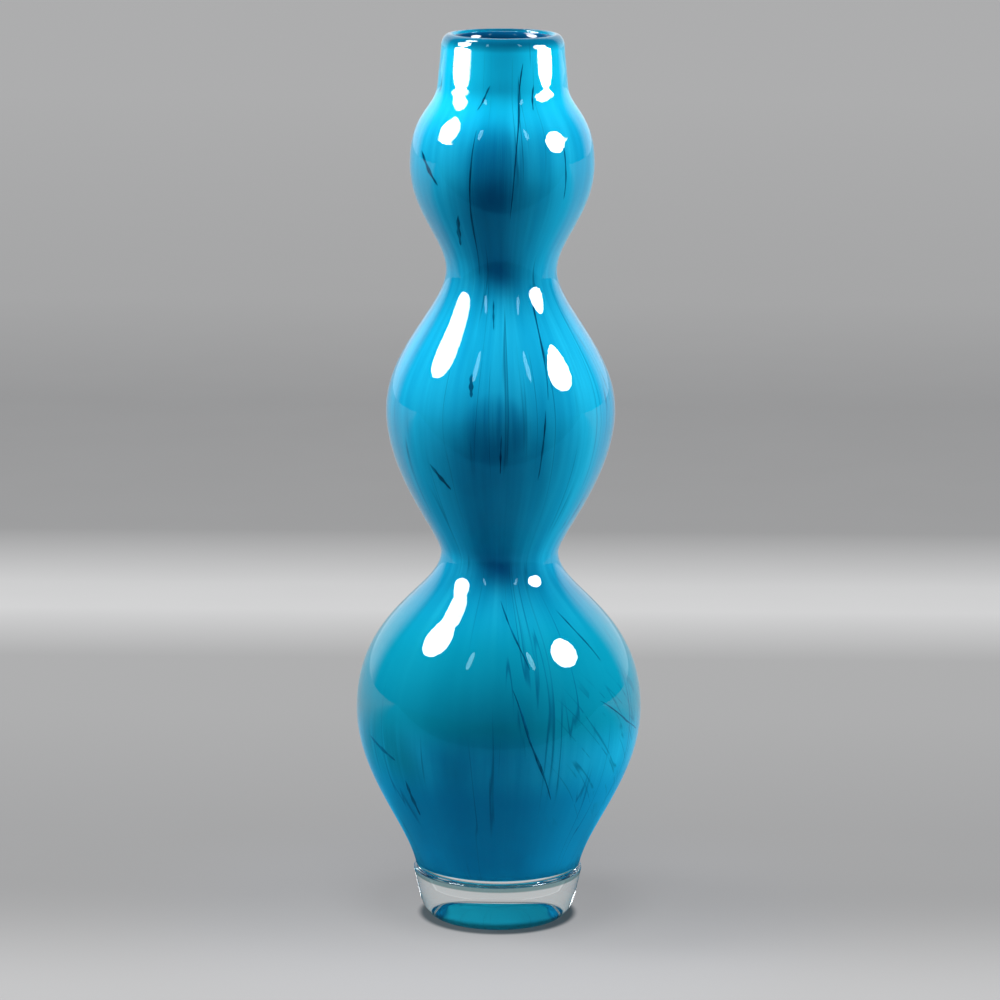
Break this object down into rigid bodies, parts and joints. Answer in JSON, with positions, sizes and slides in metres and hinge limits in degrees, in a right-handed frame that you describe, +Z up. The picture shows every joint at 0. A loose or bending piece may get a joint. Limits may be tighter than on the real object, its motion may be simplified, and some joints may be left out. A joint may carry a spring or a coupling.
{
  "type": "triple gourd vase",
  "caption": "Tall blown-glass vase of stacked gourd swellings: a turquoise cup with dark streaks inside a clear casing, on a thick clear glass foot.",
  "frame": {"origin": "centre of the face that the vase rests on, under its axis", "axes": "+Z up along the vase's axis to the mouth; -Y is the front that the picture shows, +X to the right of it"},
  "size_m": [0.115, 0.1156, 0.36],
  "materials": {
    "clear_glass": "clear fire-polished glass",
    "turquoise_glass": "opaque turquoise glass under the clear casing",
    "dark_glass": "blue-black glass threads, melted into the colour layer"
  },
  "bodies": {
    "root": {"clear_foot": "clear_glass", "clear_casing": "clear_glass", "turquoise_cup": "turquoise_glass", "top_streak_1": "dark_glass", "top_streak_2": "dark_glass", "top_streak_3": "dark_glass", "top_streak_4": "dark_glass", "top_streak_5": "dark_glass", "top_streak_6": "dark_glass", "top_streak_7": "dark_glass", "top_streak_8": "dark_glass", "top_streak_9": "dark_glass", "middle_streak_1": "dark_glass", "middle_streak_2": "dark_glass", "middle_streak_3": "dark_glass", "middle_streak_4": "dark_glass", "middle_streak_5": "dark_glass", "middle_streak_6": "dark_glass", "middle_streak_7": "dark_glass", "middle_streak_8": "dark_glass", "low_streak_1": "dark_glass", "low_streak_2": "dark_glass", "low_streak_3": "dark_glass", "low_streak_4": "dark_glass", "low_streak_5": "dark_glass", "low_streak_6": "dark_glass", "low_streak_7": "dark_glass", "low_streak_8": "dark_glass", "low_streak_9": "dark_glass"}
  },
  "joints": []
}
